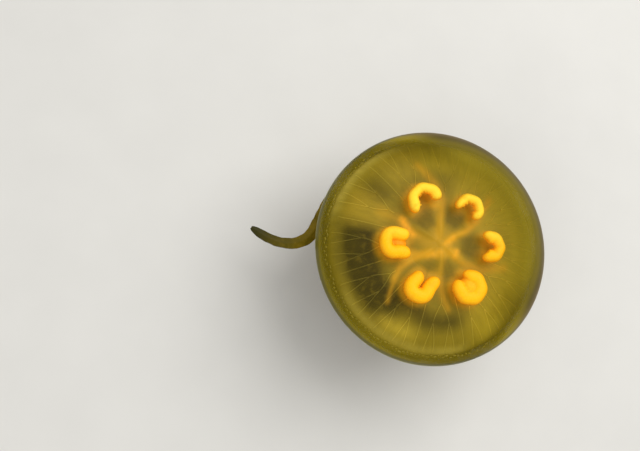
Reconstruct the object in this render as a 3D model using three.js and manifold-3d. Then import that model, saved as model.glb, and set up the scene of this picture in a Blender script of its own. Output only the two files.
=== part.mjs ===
// A six-rayed moon jelly, life size, on a plain display stand.
// Millimetres, +Z up. The origin is the centre of the stand's underside, on the bell's axis.
// The bell is a thick dome of clear jelly. Six horseshoe gonads lie in pouches round the
// stomach, a mouth tube hangs from the stomach floor, and six oral arms hang from the mouth.
import * as THREE from 'three';
import { mergeVertices } from 'three/addons/utils/BufferGeometryUtils.js';
import Module from 'manifold-3d';

const wasm = await Module();
wasm.setup();

// ---- driving dimensions -------------------------------------------------------------

const RAYS = 6;
const GAP = 0.3; // clearance between neighbouring pieces
const SEGMENTS = 48; // steps round the bell

const BELL_RADIUS = 100;
const WIDEST_Z = 100; // height of the bell's widest circle
const DOME_RISE = 58; // from the widest circle to the top of the bell
const DOME_POWER = 2.2; // 2 is an ellipse, more is squarer
const HOLLOW_RADIUS = 92;
const HOLLOW_RISE = 23;
const HOLLOW_POWER = 2.4;

const CURL_CENTRE = 86; // the rim curls in round this radius
const CURL_OUT = BELL_RADIUS - CURL_CENTRE;
const CURL_DOWN = 18;
const CURL_END = THREE.MathUtils.degToRad(80);
const CURL_SPLIT = THREE.MathUtils.degToRad(26); // flank above, lappets below
const RIM_THICK = BELL_RADIUS - HOLLOW_RADIUS;
const LIP_THICK = 2;

const CROWN_RADIUS = 66;
const STOMACH_RADIUS = 24;
const POUCH_NECK = 0.7; // where each pouch's neck lies, as a part of its gonad's radius
const STOMACH_ROOF = 138;
const FLOOR_LOW = 121.5;
const FLOOR_THICK = 3.5;

const MOUTH_RADIUS = 7;
const MOUTH_LOW = 106;

const NOTCH_RADIUS = 5; // notch in the lip at each sense organ
const NOTCH_FROM_AXIS = 88;
const TENTACLES = 3; // coarse tentacles on each lappet
const TENTACLE_LENGTH = 13;
const TENTACLE_ROOT = 0.8; // radius where it leaves the lip
const TENTACLE_END = 0.4;

const GONAD_TALL = 10.6;
const GONAD_RUFFLE = 0.9;

const BASE_RADIUS = 62;
const BASE_TALL = 12;
const FOOT_RADIUS = 5; // collar at the foot of each rod
const ROD_RADIUS = 2.5;
const SADDLE_RADIUS = 6; // pad at the top of each rod, under the stomach floor

// Each gonad: its place (radius and azimuth from the axis), the radius of its horseshoe,
// the width of its ribbon, how far it wraps, the way its gap faces, and how much one end
// winds in (the clockwise end, or the other one if the figure is negative).
const GONADS = [
  { r: 38, azimuth: 53, bend: 8.2, width: 5.2, wrap: 224, faces: -120, wind: 0 },
  { r: 37.3, azimuth: 118.5, bend: 10.8, width: 7.4, wrap: 272, faces: -52, wind: -0.45 },
  { r: 38.3, azimuth: 186.5, bend: 10.3, width: 9.8, wrap: 284, faces: 5, wind: 0 },
  { r: 42.6, azimuth: 243.5, bend: 10.2, width: 8.4, wrap: 288, faces: 60, wind: 0.2 },
  { r: 43.6, azimuth: 301.5, bend: 9.4, width: 10.2, wrap: 318, faces: 120, wind: 0 },
  { r: 41.7, azimuth: 357.3, bend: 8.2, width: 8.4, wrap: 258, faces: 178, wind: 0 },
];

// Each oral arm that hangs under the bell: the azimuth of its root, how far it swings round
// on its way out, how far out its tip gets, and how high the tip hangs.
const HANGING_ARMS = [
  { number: 1, azimuth: 27, sweep: 30, reach: 62, tip: 36 },
  { number: 2, azimuth: 89, sweep: 12, reach: 58, tip: 30 },
  { number: 4, azimuth: -143, sweep: 18, reach: 66, tip: 40 },
  { number: 5, azimuth: -89, sweep: -6, reach: 56, tip: 28 },
  { number: 6, azimuth: -38, sweep: 20, reach: 64, tip: 38 },
];
const ARM_START = 13.2;
const ARM_START_Z = 113;
const ARM_WIDTH = 16;
const ARM_THICK = 2.4;
const ARM_TIP_FROM = 0.94; // the tip rounds off from here on

// The third arm is swept out past the rim: it runs out under the bell, turns back
// along the rim, and streams away to -X.
const LONG_ARM = [
  [-11.6, 6.4, 112.5],
  [-25, 17, 96],
  [-41, 31, 79],
  [-55, 45, 67],
  [-66, 53, 61.5],
  [-74.5, 50.5, 60],
  [-82, 39, 60],
  [-89, 25, 60.5],
  [-97, 11, 61],
  [-109, 4, 61.5],
  [-123, 3.5, 62],
  [-136, 7.5, 62.5],
  [-149, 14.5, 63],
];
const LONG_ARM_WIDTH = 11.5;

// ---- materials ----------------------------------------------------------------------

function material(color, roughness, opacity = 1) {
  return new THREE.MeshStandardMaterial({
    color, roughness, metalness: 0, opacity, transparent: opacity < 1,
  });
}

const jelly = material(0x7d6b1c, 0.3, 0.85);
const gonadFlesh = material(0xfdb512, 0.5);
const armFlesh = material(0x8c7418, 0.4, 0.95);
const blackAcrylic = material(0x15150f, 0.35);
const rodSteel = new THREE.MeshStandardMaterial({
  color: 0xb4b4ae, roughness: 0.3, metalness: 1,
});

// ---- solids -------------------------------------------------------------------------

const rad = THREE.MathUtils.degToRad;
const object = new THREE.Group();

function addPiece(name, geometry, finish) {
  const mesh = new THREE.Mesh(geometry, finish);
  mesh.name = name;
  object.add(mesh);
}

function toSolid(geometry) {
  const bare = geometry.clone();
  bare.deleteAttribute('normal');
  bare.deleteAttribute('uv');
  const merged = mergeVertices(bare, 1e-4);
  return new wasm.Manifold(new wasm.Mesh({
    numProp: 3,
    vertProperties: new Float32Array(merged.attributes.position.array),
    triVerts: new Uint32Array(merged.index.array),
  }));
}

function toGeometry(solid) {
  const mesh = solid.getMesh();
  const geometry = new THREE.BufferGeometry();
  geometry.setAttribute('position', new THREE.BufferAttribute(mesh.vertProperties, 3));
  geometry.setIndex(new THREE.BufferAttribute(mesh.triVerts, 1));
  return geometry;
}

// A solid of revolution about Z from [radius, height] points.
function turned(points, segments = SEGMENTS) {
  const profile = points.map(([r, z]) => new THREE.Vector2(r, z));
  return new THREE.LatheGeometry(profile, segments).rotateX(Math.PI / 2);
}

// An upright wedge from the axis out, between two azimuths, for cutting rings.
function wedge(from, to, trim) {
  const reach = BELL_RADIUS * 2;
  const tall = WIDEST_Z + DOME_RISE * 2;
  const middle = rad((from + to) / 2);
  const half = rad((to - from) / 2);
  const back = trim / 2 / Math.sin(half);
  const shape = new THREE.Shape();
  shape.moveTo(back, 0);
  shape.lineTo(back + reach * Math.cos(half), -reach * Math.sin(half));
  shape.lineTo(back + reach, 0);
  shape.lineTo(back + reach * Math.cos(half), reach * Math.sin(half));
  const geometry = new THREE.ExtrudeGeometry(shape, { depth: tall, bevelEnabled: false });
  return toSolid(geometry.rotateZ(middle));
}

// A solid through rings of points. Each ring is an upper row and the lower row back again.
function loft(rings) {
  const count = rings[0].length;
  const half = count / 2;
  const positions = rings.flat().flatMap((p) => [p.x, p.y, p.z]);
  const index = [];
  for (let i = 0; i + 1 < rings.length; i += 1) {
    for (let k = 0; k < count; k += 1) {
      const a = i * count + k;
      const b = i * count + ((k + 1) % count);
      index.push(a, b + count, b, a, a + count, b + count);
    }
  }
  const last = (rings.length - 1) * count;
  for (let k = 0; k + 1 < half; k += 1) {
    const [a, b, c, d] = [k, k + 1, count - 2 - k, count - 1 - k];
    index.push(a, c, d, a, b, c);
    index.push(last + a, last + c, last + b, last + a, last + d, last + c);
  }
  const geometry = new THREE.BufferGeometry();
  geometry.setAttribute('position', new THREE.Float32BufferAttribute(positions, 3));
  geometry.setIndex(index);
  return geometry;
}

// ---- the bell -----------------------------------------------------------------------

function domeHeight(r, radius, rise, power) {
  return WIDEST_Z + rise * (1 - (r / radius) ** power) ** (1 / power);
}

function outerHeight(r) {
  return domeHeight(r, BELL_RADIUS, DOME_RISE, DOME_POWER);
}

function hollowHeight(r) {
  return domeHeight(r, HOLLOW_RADIUS, HOLLOW_RISE, HOLLOW_POWER);
}

// Points on a dome between two radii, even in angle so that they crowd towards the rim.
function domePoints(height, radius, from, to, steps) {
  const start = Math.asin(from / radius);
  const end = Math.asin(to / radius);
  return Array.from({ length: steps + 1 }, (_, i) => {
    const r = radius * Math.sin(start + ((end - start) * i) / steps);
    return [r, height(Math.min(r, radius))];
  });
}

// A point of the curled rim at an angle below the widest circle, a depth under its skin.
function curlPoint(angle, depth) {
  const outward = new THREE.Vector2(Math.cos(angle) / CURL_OUT, -Math.sin(angle) / CURL_DOWN);
  outward.normalize();
  return [
    CURL_CENTRE + CURL_OUT * Math.cos(angle) - depth * outward.x,
    WIDEST_Z - CURL_DOWN * Math.sin(angle) - depth * outward.y,
  ];
}

function rimThickness(angle) {
  return THREE.MathUtils.lerp(RIM_THICK, LIP_THICK, angle / CURL_END);
}

function curlPoints(from, to, steps, depthOf) {
  return Array.from({ length: steps + 1 }, (_, i) => {
    const angle = from + ((to - from) * i) / steps;
    return curlPoint(angle, depthOf(angle));
  });
}

function gonadCentre({ r, azimuth }) {
  return new THREE.Vector2(r * Math.cos(rad(azimuth)), r * Math.sin(rad(azimuth)));
}

function pouchRadius({ bend, width }) {
  return bend + width / 2 + GONAD_RUFFLE + 0.8;
}

function drum(radius, low, high, segments) {
  return turned([[0, low], [radius, low], [radius, high], [0, high]], segments);
}

// The stomach and its six pouches, as one solid to cut away or to fill.
function stomachSpace(low, high, shrink) {
  let space = toSolid(drum(STOMACH_RADIUS - shrink, low, high, 18));
  for (const gonad of GONADS) {
    const { x, y } = gonadCentre(gonad);
    const wide = pouchRadius(gonad) - shrink;
    const pouch = drum(wide, low, high, 12).translate(x, y, 0);
    const neck = drum(wide * POUCH_NECK, low, high, 8);
    neck.translate(x * POUCH_NECK, y * POUCH_NECK, 0);
    space = space.add(toSolid(pouch)).add(toSolid(neck));
  }
  return space;
}

function addBell() {
  const top = domePoints(outerHeight, BELL_RADIUS, 0, CROWN_RADIUS, 6);
  const under = domePoints(hollowHeight, HOLLOW_RADIUS, 0, CROWN_RADIUS, 2);
  const crown = toSolid(turned([...under, ...top.reverse()]));
  const stomach = stomachSpace(WIDEST_Z, STOMACH_ROOF, 0);
  addPiece('bell_crown', toGeometry(crown.subtract(stomach)), jelly);

  const inner = CROWN_RADIUS + GAP;
  const flank = toSolid(turned([
    ...domePoints(hollowHeight, HOLLOW_RADIUS, inner, HOLLOW_RADIUS, 3).reverse(),
    ...domePoints(outerHeight, BELL_RADIUS, inner, BELL_RADIUS, 4),
    ...curlPoints(0, CURL_SPLIT, 2, () => 0).slice(1),
    ...curlPoints(0, CURL_SPLIT, 1, rimThickness).slice(1),
    [HOLLOW_RADIUS, WIDEST_Z],
  ].reverse()));
  for (let i = 0; i < RAYS; i += 1) {
    const middle = 30 + 60 * i + 30;
    const sector = flank.intersect(wedge(middle - 30, middle + 30, GAP));
    addPiece(`bell_flank_${i + 1}`, toGeometry(sector), jelly);
  }
}

// One tapered tentacle that hangs from the lip, leaning a little inwards.
function tentacle(azimuth, length) {
  const [r, z] = curlPoint(CURL_END * 0.97, LIP_THICK / 2);
  const strand = new THREE.CylinderGeometry(TENTACLE_ROOT, TENTACLE_END, length, 3, 1);
  strand.rotateX(Math.PI / 2).translate(0, 0, -length / 2);
  return toSolid(strand.rotateY(rad(8)).translate(r, 0, z).rotateZ(rad(azimuth)));
}

function addLappets() {
  const split = CURL_SPLIT + GAP / CURL_DOWN;
  const ring = toSolid(turned([
    ...curlPoints(split, CURL_END, 3, () => 0),
    ...curlPoints(split, CURL_END, 2, rimThickness).reverse(),
    curlPoint(split, 0),
  ].reverse()));
  const count = RAYS * 2;
  const step = 360 / count;
  const notch = new THREE.CylinderGeometry(NOTCH_RADIUS, NOTCH_RADIUS, 40, 7);
  notch.rotateX(Math.PI / 2).translate(NOTCH_FROM_AXIS, 0, WIDEST_Z - CURL_DOWN);
  const [organR, organZ] = curlPoint(CURL_END * 0.72, LIP_THICK);
  for (let i = 0; i < count; i += 1) {
    const start = step * i;
    let lappet = ring.intersect(wedge(start, start + step, GAP));
    for (const edge of [start, start + step]) {
      lappet = lappet.subtract(toSolid(notch.clone().rotateZ(rad(edge))));
    }
    for (let k = 0; k < TENTACLES; k += 1) {
      const along = (k + 0.5) / TENTACLES;
      const azimuth = start + 5 + (step - 10) * along;
      const length = TENTACLE_LENGTH * (0.9 + 0.1 * Math.cos(7 * k + 3 * i));
      lappet = lappet.add(tentacle(azimuth, length));
    }
    const organ = new THREE.IcosahedronGeometry(1.7).scale(1.2, 1, 1);
    organ.translate(organR, 1.3, organZ - 0.6).rotateZ(rad(start));
    lappet = lappet.add(toSolid(organ));
    addPiece(`lappet_${String(i + 1).padStart(2, '0')}`, toGeometry(lappet), jelly);
  }
}

function addStomachFloor() {
  const high = FLOOR_LOW + FLOOR_THICK;
  const floor = stomachSpace(FLOOR_LOW, high, GAP);
  const throat = toSolid(drum(MOUTH_RADIUS, WIDEST_Z, high + 10, 20));
  addPiece('stomach_floor', toGeometry(floor.subtract(throat)), jelly);

  const top = FLOOR_LOW - GAP;
  const tube = [
    [MOUTH_RADIUS, top],
    [MOUTH_RADIUS, MOUTH_LOW + 3],
    [MOUTH_RADIUS + 2, MOUTH_LOW],
    [MOUTH_RADIUS + 4, MOUTH_LOW + 1.5],
    [MOUTH_RADIUS + 4.4, MOUTH_LOW + 6],
    [MOUTH_RADIUS + 5.4, MOUTH_LOW + 11],
    [MOUTH_RADIUS + 9, top],
    [MOUTH_RADIUS, top],
  ];
  addPiece('mouth_tube', turned(tube, 18), armFlesh);
}

// ---- the gonads ---------------------------------------------------------------------

// A ruffled ribbon bent to a horseshoe, round at both ends, standing on the stomach floor.
function gonadRings({ bend, width, wrap, faces, wind }) {
  const steps = Math.round(wrap / 17);
  const low = FLOOR_LOW + FLOOR_THICK + GAP + 0.1;
  const rings = [];
  for (let i = 0; i <= steps; i += 1) {
    const t = i / steps;
    const turn = rad(faces + 180 + wrap * (0.5 - t));
    const ends = Math.sqrt(Math.max(0, 1 - (2 * t - 1) ** 10));
    const ruffle = GONAD_RUFFLE * Math.sin(t * wrap * 0.13);
    const inward = Math.abs(wind) * (wind < 0 ? 1 - t : t) ** 4;
    const middle = bend * (1 - inward) + ruffle;
    const wide = (width / 2) * (0.3 + 0.7 * ends) + 0.35 * Math.cos(t * wrap * 0.21);
    const tall = GONAD_TALL * (0.55 + 0.45 * ends);
    const outward = new THREE.Vector3(Math.cos(turn), Math.sin(turn), 0);
    const rows = [
      [-1, 0.66], [-0.55, 1], [0.55, 1], [1, 0.66], [0.8, 0], [-0.8, 0],
    ];
    rings.push(rows.map(([across, up]) => {
      const point = outward.clone().multiplyScalar(middle + across * wide);
      return point.setZ(low + up * tall);
    }));
  }
  return rings;
}

function addGonads() {
  GONADS.forEach((gonad, i) => {
    const { x, y } = gonadCentre(gonad);
    addPiece(`gonad_${i + 1}`, loft(gonadRings(gonad)).translate(x, y, 0), gonadFlesh);
  });
}

// ---- the oral arms ------------------------------------------------------------------

// Width of an arm along its length: a narrow root, a broad blade, a narrow round tip.
function armWidth(t, width) {
  const swell = Math.sin(Math.PI * (0.12 + 0.8 * t)) ** 0.8;
  const past = Math.max(0, t - ARM_TIP_FROM) / (1 - ARM_TIP_FROM);
  return width * (0.42 + 0.58 * swell) * Math.sqrt(1 - 0.8 * past ** 2);
}

// Rings of a trough-shaped blade along a stretch of its midline.
function armRings(curve, from, to, steps, width) {
  const rings = [];
  for (let i = 0; i <= steps; i += 1) {
    const t = from + ((to - from) * i) / steps;
    const centre = curve.getPoint(t);
    const along = curve.getTangent(t);
    const side = new THREE.Vector3(-along.y, along.x, 0).normalize();
    const up = new THREE.Vector3().crossVectors(along, side);
    const half = armWidth(t, width) / 2;
    const thick = ARM_THICK * (1 - 0.55 * t);
    const sway = 0.8 * Math.sin(17 * t);
    const upper = [-1, -0.5, 0, 0.5, 1].map((across) => [across, thick / 2]);
    const lower = [1, 0.5, 0, -0.5, -1].map((across) => [across, -thick / 2]);
    rings.push([...upper, ...lower].map(([across, rise]) => {
      const edge = Math.abs(across);
      const lift = -0.3 * half * edge ** 1.5 + sway * across * edge;
      const taper = 1 - 0.45 * edge;
      return centre.clone()
        .addScaledVector(side, across * half)
        .addScaledVector(up, lift + rise * taper);
    }));
  }
  return rings;
}

function addArm(number, curve, width, cuts, steps) {
  const trim = GAP / 2 / curve.getLength();
  const names = ['root', 'middle', 'tip'];
  names.forEach((name, i) => {
    const from = i === 0 ? 0 : cuts[i] + trim;
    const to = i === 2 ? 1 : cuts[i + 1] - trim;
    const rings = armRings(curve, from, to, steps[i], width);
    addPiece(`arm_${number}_${name}`, loft(rings), armFlesh);
  });
}

function hangingCurve({ azimuth, sweep, reach, tip }) {
  const points = Array.from({ length: 7 }, (_, i) => {
    const t = i / 6;
    const r = ARM_START + (reach - ARM_START) * Math.sin((t * Math.PI) / 2) ** 0.9;
    const turn = rad(azimuth + sweep * t ** 1.5);
    const z = ARM_START_Z - (ARM_START_Z - tip) * (0.45 * t + 0.55 * t ** 2);
    return new THREE.Vector3(r * Math.cos(turn), r * Math.sin(turn), z);
  });
  return new THREE.CatmullRomCurve3(points, false, 'centripetal');
}

function addArms() {
  for (const arm of HANGING_ARMS) {
    addArm(arm.number, hangingCurve(arm), ARM_WIDTH, [0, 0.33, 0.67, 1], [3, 4, 4]);
  }
  const points = LONG_ARM.map(([x, y, z]) => new THREE.Vector3(x, y, z));
  const curve = new THREE.CatmullRomCurve3(points, false, 'centripetal');
  addArm(3, curve, LONG_ARM_WIDTH, [0, 0.32, 0.66, 1], [5, 8, 6]);
}

// ---- the display stand --------------------------------------------------------------

function addStand() {
  addPiece('stand_base', turned([
    [0, 0],
    [BASE_RADIUS - 1, 0],
    [BASE_RADIUS, 1],
    [BASE_RADIUS, BASE_TALL - 1.5],
    [BASE_RADIUS - 1.5, BASE_TALL],
    [0, BASE_TALL],
  ], 32), blackAcrylic);

  const low = BASE_TALL + GAP;
  const high = FLOOR_LOW - GAP;
  const footTop = low + 5;
  const saddleLow = high - 4;
  const column = {
    foot: [
      [0, low], [FOOT_RADIUS, low], [FOOT_RADIUS, low + 3], [ROD_RADIUS, footTop], [0, footTop],
    ],
    rod: [
      [0, footTop + GAP], [ROD_RADIUS, footTop + GAP],
      [ROD_RADIUS, saddleLow - GAP], [0, saddleLow - GAP],
    ],
    saddle: [
      [0, saddleLow], [ROD_RADIUS, saddleLow], [SADDLE_RADIUS, high - 1.5],
      [SADDLE_RADIUS, high], [0, high],
    ],
  };
  [GONADS[2], GONADS[5]].forEach((gonad, i) => {
    const { x, y } = gonadCentre(gonad);
    for (const [name, profile] of Object.entries(column)) {
      addPiece(`stand_${name}_${i + 1}`, turned(profile, 12).translate(x, y, 0), rodSteel);
    }
  });
}

addBell();
addLappets();
addStomachFloor();
addGonads();
addArms();
addStand();

export default object;
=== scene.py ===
import math
import random

import bpy
import numpy as np
from mathutils import Matrix, Vector


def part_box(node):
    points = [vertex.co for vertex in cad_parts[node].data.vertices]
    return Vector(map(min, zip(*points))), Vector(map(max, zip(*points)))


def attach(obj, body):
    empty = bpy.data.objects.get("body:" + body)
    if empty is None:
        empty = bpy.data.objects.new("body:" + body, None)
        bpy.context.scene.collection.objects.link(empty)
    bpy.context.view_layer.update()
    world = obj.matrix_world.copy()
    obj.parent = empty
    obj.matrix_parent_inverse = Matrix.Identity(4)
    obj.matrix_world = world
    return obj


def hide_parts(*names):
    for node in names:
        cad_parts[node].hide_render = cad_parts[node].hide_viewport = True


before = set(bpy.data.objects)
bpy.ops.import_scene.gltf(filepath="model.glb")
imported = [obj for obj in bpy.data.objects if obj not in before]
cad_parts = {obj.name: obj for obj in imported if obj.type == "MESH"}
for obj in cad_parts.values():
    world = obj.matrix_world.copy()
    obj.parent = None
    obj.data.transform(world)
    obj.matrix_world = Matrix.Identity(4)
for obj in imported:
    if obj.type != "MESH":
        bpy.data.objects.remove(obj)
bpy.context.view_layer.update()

# ---- the bell -----------------------------------------------------------------------
# A dome of clear jelly, thick at the middle, with a rim that curls in to a thin scalloped
# lip. Its hollow side carries the colour. The mouth tube hangs from it. It is one skin,
# cast whole, so it stands for the crown, the flanks, the lappets and the mouth tube.

MM = 0.001  # sizes in this script are in millimetres, and times this in metres
RAYS = 6
AROUND = 360  # steps round the bell
BELL_RADIUS = 100
WIDEST = 100  # the height at which the bell is widest
DOME_RISE = 58
DOME_POWER = 2.2  # 2 is an ellipse, more is squarer
HOLLOW_RADIUS = 92
HOLLOW_RISE = 23
HOLLOW_POWER = 2.4
CURL_CENTRE = 86  # the radius round which the rim curls in
CURL_OUT = BELL_RADIUS - CURL_CENTRE
CURL_DOWN = 18
CURL_END = 80  # degrees from the widest to the lip
RIM_THICK = BELL_RADIUS - HOLLOW_RADIUS
LIP_THICK = 2
LIP_BAND = 1.2
NOTCHES = RAYS * 2
NOTCH_TURN = 360 / NOTCHES
NOTCH_HALF = 1.1  # degrees each side that are lifted whole
NOTCH_LIFT = 3.6
NOTCH_REACH = 10
TUBE_OUTLINE = [
    (22, 122.0), (18, 121.6), (15.4, 120.4), (13.2, 118.2), (12.1, 115), (11.5, 112), (11.1, 109),
    (10.9, 107.4), (10.2, 106.3), (9.1, 105.9), (8.0, 106.5), (7.2, 108), (7, 110), (7, 118),
    (6.6, 122), (5, 124.4), (2.6, 125.2), (0, 125.4),
]


def outer_height(radius):
    """Height of the bell's outside over a distance from its axis."""
    part = min(radius / BELL_RADIUS, 1)
    return WIDEST + DOME_RISE * (1 - part**DOME_POWER) ** (1 / DOME_POWER)


def hollow_height(radius):
    """Height of the bell's hollow side over a distance from its axis."""
    part = min(radius / HOLLOW_RADIUS, 1)
    return WIDEST + HOLLOW_RISE * (1 - part**HOLLOW_POWER) ** (1 / HOLLOW_POWER)


def curl_point(angle, depth):
    """Radius and height on the curled rim, at an angle below its widest and a depth under its skin."""
    turn = math.radians(angle)
    outward = Vector((math.cos(turn) / CURL_OUT, -math.sin(turn) / CURL_DOWN)).normalized()
    radius = CURL_CENTRE + CURL_OUT * math.cos(turn) - depth * outward.x
    return radius, WIDEST - CURL_DOWN * math.sin(turn) - depth * outward.y


def rim_thickness(angle):
    return RIM_THICK + (LIP_THICK - RIM_THICK) * angle / CURL_END


def bell_outline():
    """Points of radius and height from the top of the bell, round its lip, to the throat."""
    outside = [BELL_RADIUS * math.sin(math.radians(turn)) for turn in np.linspace(0, 90, 46)]
    inside = [HOLLOW_RADIUS * math.sin(math.radians(turn)) for turn in np.linspace(90, 16, 36)]
    points = [(radius, outer_height(radius)) for radius in outside]
    points += [curl_point(angle, 0) for angle in np.linspace(5, CURL_END, 16)]
    points += [curl_point(CURL_END + 3, LIP_THICK * part) for part in (0.3, 0.7)]
    points += [curl_point(angle, rim_thickness(angle)) for angle in np.linspace(CURL_END, 6, 13)]
    points += [(radius, hollow_height(radius)) for radius in inside]
    return points + TUBE_OUTLINE


def deselect():
    bpy.ops.object.select_all(action="DESELECT")


def turned(name, outline, steps):
    """A solid of revolution: an outline is drawn out point by point, then spun about the axis."""
    deselect()
    bpy.ops.mesh.primitive_plane_add(size=MM)
    piece = bpy.context.active_object
    piece.name = piece.data.name = name
    bpy.ops.object.mode_set(mode="EDIT")
    bpy.ops.mesh.merge(type="CENTER")
    last = Vector((0, 0, 0))
    for index, (radius, height) in enumerate(outline):
        place = Vector((radius, 0, height)) * MM
        if index == 0:
            bpy.ops.transform.translate(value=place - last)
        else:
            bpy.ops.mesh.extrude_region_move(TRANSFORM_OT_translate={"value": place - last})
        last = place
    bpy.ops.mesh.select_all(action="SELECT")
    bpy.ops.mesh.spin(steps=steps, angle=math.tau, center=(0, 0, 0), axis=(0, 0, 1))
    bpy.ops.mesh.select_all(action="SELECT")
    bpy.ops.mesh.remove_doubles(threshold=0.002 * MM)
    bpy.ops.mesh.normals_make_consistent(inside=False)
    bpy.ops.mesh.select_all(action="DESELECT")
    bpy.ops.object.mode_set(mode="OBJECT")
    bpy.ops.object.shade_smooth()
    return piece


def places(piece):
    """Where the vertices of a piece are, in millimetres."""
    flat = np.empty(len(piece.data.vertices) * 3)
    piece.data.vertices.foreach_get("co", flat)
    return flat.reshape(-1, 3) / MM


def turn_between(azimuths, middle):
    """Degrees from a middle azimuth, the short way round."""
    return np.abs((azimuths - middle + 180) % 360 - 180)


def from_notch(azimuth):
    """Degrees from the nearest notch."""
    return abs((azimuth + NOTCH_TURN / 2) % NOTCH_TURN - NOTCH_TURN / 2)


def notch_lift(azimuth):
    """How far the lip is lifted at an azimuth: most at each sense organ, not at all between."""
    away = max(0, math.radians(from_notch(azimuth) - NOTCH_HALF)) * CURL_CENTRE
    part = max(0, 1 - away / NOTCH_REACH)
    return NOTCH_LIFT * part**2 * (3 - 2 * part)


def raise_notches(bell):
    """Lifts the lip at each of the twelve sense organs, so that it hangs in lappets between."""
    spots = places(bell)
    azimuths = np.degrees(np.arctan2(spots[:, 1], spots[:, 0]))
    lip = spots[:, 2] < WIDEST - CURL_DOWN + LIP_BAND
    for index in range(NOTCHES):
        away = turn_between(azimuths, NOTCH_TURN * index)
        bell.data.vertices.foreach_set("select", lip & (away < NOTCH_HALF))
        bpy.ops.object.mode_set(mode="EDIT")
        bpy.ops.transform.translate(
            value=(0, 0, NOTCH_LIFT * MM),
            use_proportional_edit=True,
            proportional_edit_falloff="SMOOTH",
            proportional_size=NOTCH_REACH * MM,
            use_proportional_connected=True,
        )
        bpy.ops.mesh.select_all(action="DESELECT")
        bpy.ops.object.mode_set(mode="OBJECT")


def on_hollow_side(radius, height):
    """Whether a place on the skin is nearer its hollow side than its outside."""
    if height > WIDEST:
        return radius < HOLLOW_RADIUS + 0.5 and height < hollow_height(radius) + 4
    across = (radius - CURL_CENTRE) / CURL_OUT
    down = (WIDEST - height) / CURL_DOWN
    return radius < CURL_CENTRE or across**2 + down**2 < 0.87


bell = turned("bell_skin", bell_outline(), AROUND)
for face in bell.data.polygons:
    middle = face.center / MM
    face.material_index = int(on_hollow_side(middle.xy.length, middle.z))
raise_notches(bell)

# The colour in the hollow side is laid in as listed: soft patches between two distances from the axis and
# two azimuths, golden streaks over the arm roots, and a glow round each gonad. Sizes are in millimetres and
# angles in degrees.

# Each gonad is an arc with a straight leg at each end. "faces" is the way it opens, "swell"
# makes it thicker at its ends than at its middle, and "fill" is how full it is inside.
GONADS = [
    {"r": 37.1, "azimuth": 51.5, "bend": 8.8, "width": 7.8, "wrap": 232, "legs": (0, 3), "faces": -112,
     "swell": 0, "fill": 0.15},
    {"r": 36.4, "azimuth": 114.5, "bend": 10.8, "width": 9.4, "wrap": 232, "legs": (0, 0), "faces": -58,
     "swell": 0.1, "fill": 0.3},
    {"r": 41.4, "azimuth": 185.5, "bend": 8, "width": 11.4, "wrap": 200, "legs": (12.5, 10), "faces": -5,
     "swell": 0.04, "fill": 0.72},
    {"r": 44.5, "azimuth": 243, "bend": 7, "width": 12, "wrap": 196, "legs": (16, 9.5), "faces": 48,
     "swell": -0.04, "fill": 0.6},
    {"r": 43.2, "azimuth": 301.9, "bend": 8.9, "width": 12.4, "wrap": 336, "legs": (0, 0), "faces": 134,
     "swell": 0, "fill": 1},
    {"r": 41.5, "azimuth": 357.5, "bend": 8.2, "width": 10.2, "wrap": 256, "legs": (0, 0), "faces": 178,
     "swell": 0.1, "fill": 0.15},
]
OLIVE = (126, 108, 22)
GOLD = (200, 148, 26)
AMBER = (240, 168, 34)
# Painted shade: the dark olive of the front left of the hollow side.
SHADED_OLIVE = (38, 31, 1)
PALE_OLIVE = (158, 138, 40)
# Painted light: the hollow side's colour is laid in brighter to make up for the light that the jelly over
# it takes.
UNDER_JELLY = 1.25  # how much brighter the colour is laid in, for what the jelly over it takes
PATCH_SOFT = 7
POCKET_SOFT = 4
# Each patch: nearest and farthest from the axis, first and last azimuth, colour, strength.
PATCHES = [
    # Painted light: the next five patches lighten the back and right of the hollow side, and most of all
    # its band near the rim there, which lies in shade.
    (34, 96, -63, 72, (164, 140, 30), 0.8),
    (62, 89, 79, 104, (174, 150, 36), 0.55),
    (80, 97, 64, 108, (200, 176, 50), 0.6),
    (80, 97, 304, 346, (200, 176, 50), 0.6),
    (66, 97, -24, 96, (186, 161, 42), 0.4),
    (60, 90, 104, 128, (154, 130, 34), 0.6),
    # Painted shade: the next four patches darken the front and left of the hollow side.
    (54, 83, 171, 238, SHADED_OLIVE, 0.98),
    (59, 72, 256, 286, (56, 48, 4), 0.85),
    (54, 66, 236, 258, (52, 42, 2), 0.8),
    (56, 78, 136, 148, (84, 70, 6), 0.78),
    (48, 84, 150, 166, (160, 132, 34), 0.6),
    (75, 85, 234, 254, (184, 158, 46), 0.8),
    (86, 92, 110, 300, PALE_OLIVE, 0.6),
]
# The pale ring by the rim, which is partly the rim's own pale band and partly painted light that lifts the
# shade in the crease there, and a dark pocket at the open side of each horseshoe, laid in last.
POCKETS = [
    (87, 94, 100, 162, (190, 170, 72), 0.8),
    (87, 94, 212, 285, (190, 170, 72), 0.7),
    (91, 97, 95, 168, (220, 198, 96), 0.8),
    (82, 88, 170, 196, (92, 80, 18), 0.55),
    (17, 33, 44, 76, (84, 70, 8), 0.75),
    (19, 37, -20, 14, (90, 75, 9), 0.75),
    (15, 31, 106, 142, (90, 74, 9), 0.75),
    (16, 26, 236, 260, (106, 90, 14), 0.6),
    (15, 32, 278, 298, (100, 84, 12), 0.65),
    (20, 27, 176, 196, (130, 106, 20), 0.4),
]
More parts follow.
